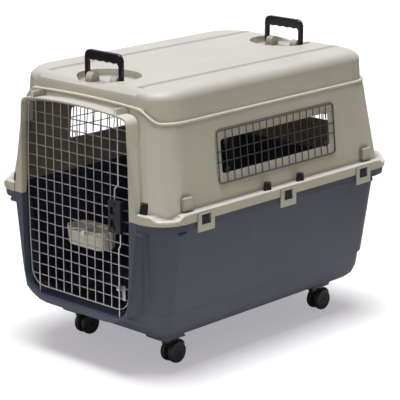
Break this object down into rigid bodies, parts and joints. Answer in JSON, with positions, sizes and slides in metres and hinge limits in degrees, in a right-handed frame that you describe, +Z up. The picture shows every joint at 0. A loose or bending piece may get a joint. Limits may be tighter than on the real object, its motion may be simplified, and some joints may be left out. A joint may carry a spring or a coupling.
{
  "type": "rolling pet crate",
  "caption": "Large plastic travel crate for a dog: dark tub, light lid, wire door with a two-rod latch, wire windows, folding roof handles and swivel castors.",
  "frame": {"origin": "on the floor under the middle of the crate's footprint", "axes": "+Z up, the door faces -Y, the long sides run along Y, +X is the side seen in the picture"},
  "size_m": [0.544, 0.78, 0.6838],
  "materials": {
    "cream_plastic": "satin moulded",
    "slate_plastic": "satin moulded",
    "black_plastic": "satin moulded",
    "wheel_plastic": "matt moulded",
    "grey_plastic": "satin moulded",
    "bright_wire": "bright plated wire",
    "zinc_steel": "zinc plated"
  },
  "bodies": {
    "crate": {"lower_tub": "slate_plastic", "upper_shell": "cream_plastic", "side_grille_right": "bright_wire", "side_grille_left": "bright_wire", "rear_grille": "bright_wire", "bolt_right_front": "zinc_steel", "bolt_right_rear": "zinc_steel", "bolt_left_front": "zinc_steel", "bolt_left_rear": "zinc_steel", "bolt_front_right": "zinc_steel", "bolt_front_left": "zinc_steel", "bolt_rear_right": "zinc_steel", "bolt_rear_left": "zinc_steel", "nut_right_front": "black_plastic", "nut_right_rear": "black_plastic", "nut_left_front": "black_plastic", "nut_left_rear": "black_plastic", "nut_front_right": "black_plastic", "nut_front_left": "black_plastic", "nut_rear_right": "black_plastic", "nut_rear_left": "black_plastic", "castor_plate_front_right": "black_plastic", "castor_plate_front_left": "black_plastic", "castor_plate_rear_right": "black_plastic", "castor_plate_rear_left": "black_plastic"},
    "door": {"door_grille": "bright_wire", "latch_case": "grey_plastic", "latch_back": "grey_plastic", "bowl": "cream_plastic", "latch_spring_upper": "zinc_steel", "latch_spring_lower": "zinc_steel"},
    "latch_upper": {"latch_rod_upper": "bright_wire"},
    "latch_lower": {"latch_rod_lower": "bright_wire"},
    "front_handle": {"handle_front": "black_plastic"},
    "rear_handle": {"handle_rear": "black_plastic"},
    "snap_right_front": {"catch_right_front": "slate_plastic"},
    "snap_right_middle": {"catch_right_middle": "slate_plastic"},
    "snap_right_rear": {"catch_right_rear": "slate_plastic"},
    "snap_left_front": {"catch_left_front": "slate_plastic"},
    "snap_left_middle": {"catch_left_middle": "slate_plastic"},
    "snap_left_rear": {"catch_left_rear": "slate_plastic"},
    "swivel_front_right": {"castor_hood_front_right": "black_plastic", "castor_axle_front_right": "black_plastic"},
    "wheel_front_right_a": {"castor_wheel_front_right_a": "wheel_plastic"},
    "wheel_front_right_b": {"castor_wheel_front_right_b": "wheel_plastic"},
    "brake_front_right": {"brake_lever_front_right": "black_plastic"},
    "swivel_front_left": {"castor_hood_front_left": "black_plastic", "castor_axle_front_left": "black_plastic"},
    "wheel_front_left_a": {"castor_wheel_front_left_a": "wheel_plastic"},
    "wheel_front_left_b": {"castor_wheel_front_left_b": "wheel_plastic"},
    "brake_front_left": {"brake_lever_front_left": "black_plastic"},
    "swivel_rear_right": {"castor_hood_rear_right": "black_plastic", "castor_axle_rear_right": "black_plastic"},
    "wheel_rear_right_a": {"castor_wheel_rear_right_a": "wheel_plastic"},
    "wheel_rear_right_b": {"castor_wheel_rear_right_b": "wheel_plastic"},
    "swivel_rear_left": {"castor_hood_rear_left": "black_plastic", "castor_axle_rear_left": "black_plastic"},
    "wheel_rear_left_a": {"castor_wheel_rear_left_a": "wheel_plastic"},
    "wheel_rear_left_b": {"castor_wheel_rear_left_b": "wheel_plastic"}
  },
  "joints": [
    {"name": "door_hinge", "type": "hinge", "parent": "crate", "child": "door", "pos_m": [-0.1285, -0.3755, 0.1345], "axis": [0, 0, -1], "range_deg": [0, 105]},
    {"name": "latch_upper_slide", "type": "slide", "parent": "door", "child": "latch_upper", "axis": [0, 0, -1], "range_m": [0, 0.016], "stiffness_N_per_m": 150, "springref_m": -0.004, "deforming": ["latch_spring_upper"]},
    {"name": "latch_lower_slide", "type": "slide", "parent": "door", "child": "latch_lower", "axis": [0, 0, 1], "range_m": [0, 0.016], "stiffness_N_per_m": 150, "springref_m": -0.004, "deforming": ["latch_spring_lower"]},
    {"name": "front_handle_fold", "type": "hinge", "parent": "crate", "child": "front_handle", "pos_m": [0, -0.293, 0.623], "axis": [-1, 0, 0], "range_deg": [0, 88]},
    {"name": "rear_handle_fold", "type": "hinge", "parent": "crate", "child": "rear_handle", "pos_m": [0, 0.293, 0.623], "axis": [1, 0, 0], "range_deg": [0, 88]},
    {"name": "snap_right_front_flex", "type": "hinge", "parent": "crate", "child": "snap_right_front", "pos_m": [0.2631, -0.263, 0.3478], "axis": [0, -1, 0], "range_deg": [0, 8], "stiffness_Nm_per_rad": 0.5, "springref_deg": -2.86},
    {"name": "snap_right_middle_flex", "type": "hinge", "parent": "crate", "child": "snap_right_middle", "pos_m": [0.2631, 0, 0.3478], "axis": [0, -1, 0], "range_deg": [0, 8], "stiffness_Nm_per_rad": 0.5, "springref_deg": -2.86},
    {"name": "snap_right_rear_flex", "type": "hinge", "parent": "crate", "child": "snap_right_rear", "pos_m": [0.2631, 0.263, 0.3478], "axis": [0, -1, 0], "range_deg": [0, 8], "stiffness_Nm_per_rad": 0.5, "springref_deg": -2.86},
    {"name": "snap_left_front_flex", "type": "hinge", "parent": "crate", "child": "snap_left_front", "pos_m": [-0.2631, -0.263, 0.3478], "axis": [0, 1, 0], "range_deg": [0, 8], "stiffness_Nm_per_rad": 0.5, "springref_deg": -2.86},
    {"name": "snap_left_middle_flex", "type": "hinge", "parent": "crate", "child": "snap_left_middle", "pos_m": [-0.2631, 0, 0.3478], "axis": [0, 1, 0], "range_deg": [0, 8], "stiffness_Nm_per_rad": 0.5, "springref_deg": -2.86},
    {"name": "snap_left_rear_flex", "type": "hinge", "parent": "crate", "child": "snap_left_rear", "pos_m": [-0.2631, 0.263, 0.3478], "axis": [0, 1, 0], "range_deg": [0, 8], "stiffness_Nm_per_rad": 0.5, "springref_deg": -2.86},
    {"name": "swivel_front_right_turn", "type": "hinge", "parent": "crate", "child": "swivel_front_right", "pos_m": [0.138, -0.249, 0.0605], "axis": [0, 0, 1], "continuous": true},
    {"name": "wheel_front_right_a_roll", "type": "hinge", "parent": "swivel_front_right", "child": "wheel_front_right_a", "pos_m": [0.12645, -0.2275, 0.025], "axis": [1, 0, 0], "continuous": true},
    {"name": "wheel_front_right_b_roll", "type": "hinge", "parent": "swivel_front_right", "child": "wheel_front_right_b", "pos_m": [0.14955, -0.2275, 0.025], "axis": [1, 0, 0], "continuous": true},
    {"name": "brake_front_right_press", "type": "hinge", "parent": "swivel_front_right", "child": "brake_front_right", "pos_m": [0.138, -0.225, 0.0575], "axis": [-1, 0, 0], "range_deg": [0, 16]},
    {"name": "swivel_front_left_turn", "type": "hinge", "parent": "crate", "child": "swivel_front_left", "pos_m": [-0.138, -0.249, 0.0605], "axis": [0, 0, 1], "continuous": true},
    {"name": "wheel_front_left_a_roll", "type": "hinge", "parent": "swivel_front_left", "child": "wheel_front_left_a", "pos_m": [-0.14955, -0.2275, 0.025], "axis": [1, 0, 0], "continuous": true},
    {"name": "wheel_front_left_b_roll", "type": "hinge", "parent": "swivel_front_left", "child": "wheel_front_left_b", "pos_m": [-0.12645, -0.2275, 0.025], "axis": [1, 0, 0], "continuous": true},
    {"name": "brake_front_left_press", "type": "hinge", "parent": "swivel_front_left", "child": "brake_front_left", "pos_m": [-0.138, -0.225, 0.0575], "axis": [-1, 0, 0], "range_deg": [0, 16]},
    {"name": "swivel_rear_right_turn", "type": "hinge", "parent": "crate", "child": "swivel_rear_right", "pos_m": [0.138, 0.249, 0.0605], "axis": [0, 0, 1], "continuous": true},
    {"name": "wheel_rear_right_a_roll", "type": "hinge", "parent": "swivel_rear_right", "child": "wheel_rear_right_a", "pos_m": [0.12645, 0.2705, 0.025], "axis": [1, 0, 0], "continuous": true},
    {"name": "wheel_rear_right_b_roll", "type": "hinge", "parent": "swivel_rear_right", "child": "wheel_rear_right_b", "pos_m": [0.14955, 0.2705, 0.025], "axis": [1, 0, 0], "continuous": true},
    {"name": "swivel_rear_left_turn", "type": "hinge", "parent": "crate", "child": "swivel_rear_left", "pos_m": [-0.138, 0.249, 0.0605], "axis": [0, 0, 1], "continuous": true},
    {"name": "wheel_rear_left_a_roll", "type": "hinge", "parent": "swivel_rear_left", "child": "wheel_rear_left_a", "pos_m": [-0.14955, 0.2705, 0.025], "axis": [1, 0, 0], "continuous": true},
    {"name": "wheel_rear_left_b_roll", "type": "hinge", "parent": "swivel_rear_left", "child": "wheel_rear_left_b", "pos_m": [-0.12645, 0.2705, 0.025], "axis": [1, 0, 0], "continuous": true}
  ]
}
